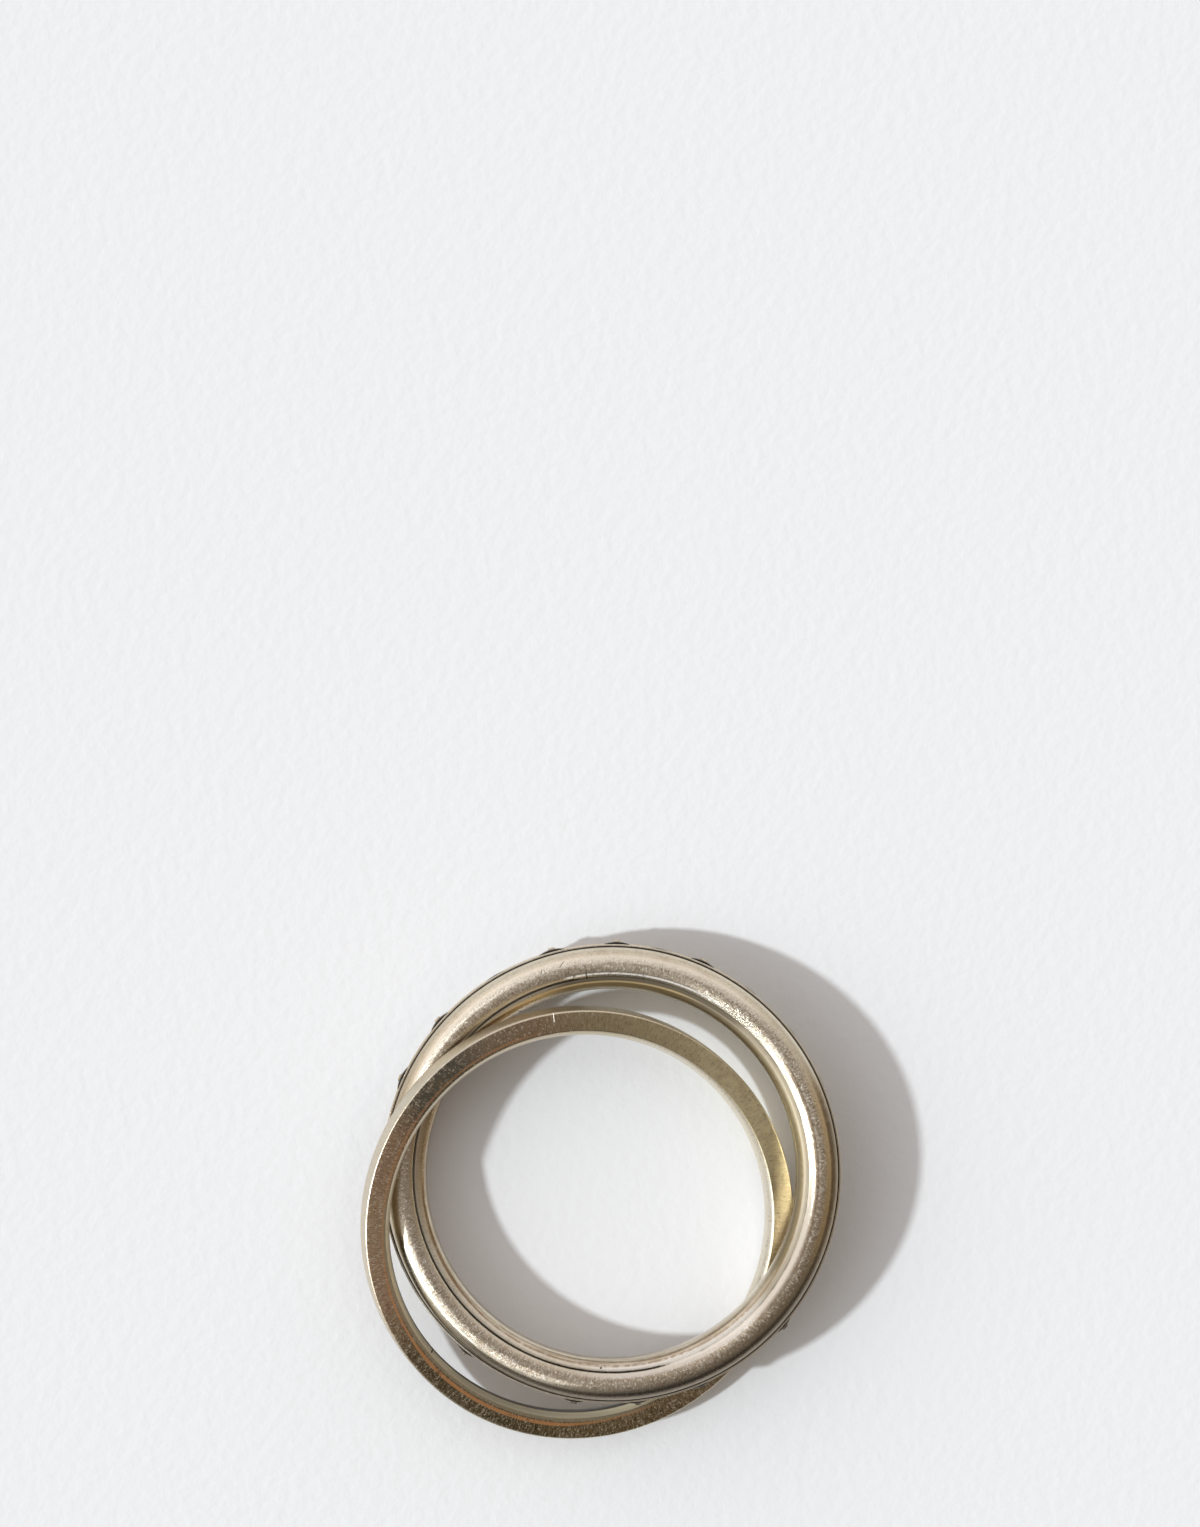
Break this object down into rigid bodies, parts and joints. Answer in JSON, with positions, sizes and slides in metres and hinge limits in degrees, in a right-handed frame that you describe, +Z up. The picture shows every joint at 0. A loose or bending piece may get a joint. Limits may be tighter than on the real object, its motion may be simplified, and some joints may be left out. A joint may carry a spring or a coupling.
{
  "type": "silver double finger ring, a relief band ring linked with a plain ring",
  "caption": "Heavy silver ring with domed rims and a raised leaf pattern round its band, loosely linked through a thin plain ring, both lying on their sides.",
  "frame": {"origin": "on the surface that the rings lie on, under the middle of both rings together", "axes": "+Z up from the surface, +X from the plain ring's centre towards the main ring's centre, +Y towards the crossing where the plain ring lies on top"},
  "size_m": [0.0255, 0.0232, 0.0048],
  "materials": {
    "antiqued_silver": "warm antiqued silver, satin rims with fine scratches, blackened in the seams and on the ground of the relief band",
    "brushed_silver": "warm worn silver, flat faces brushed across, edges rubbed bright"
  },
  "bodies": {
    "main_ring": {"main_ring": "antiqued_silver"},
    "plain_ring": {"plain_ring": "brushed_silver"}
  },
  "joints": [
    {"name": "plain_ring_turn", "type": "hinge", "parent": "main_ring", "child": "plain_ring", "pos_m": [-0.00179, 0, 0.00238], "axis": [-0.016, -0.1527, 0.9881], "continuous": true}
  ]
}
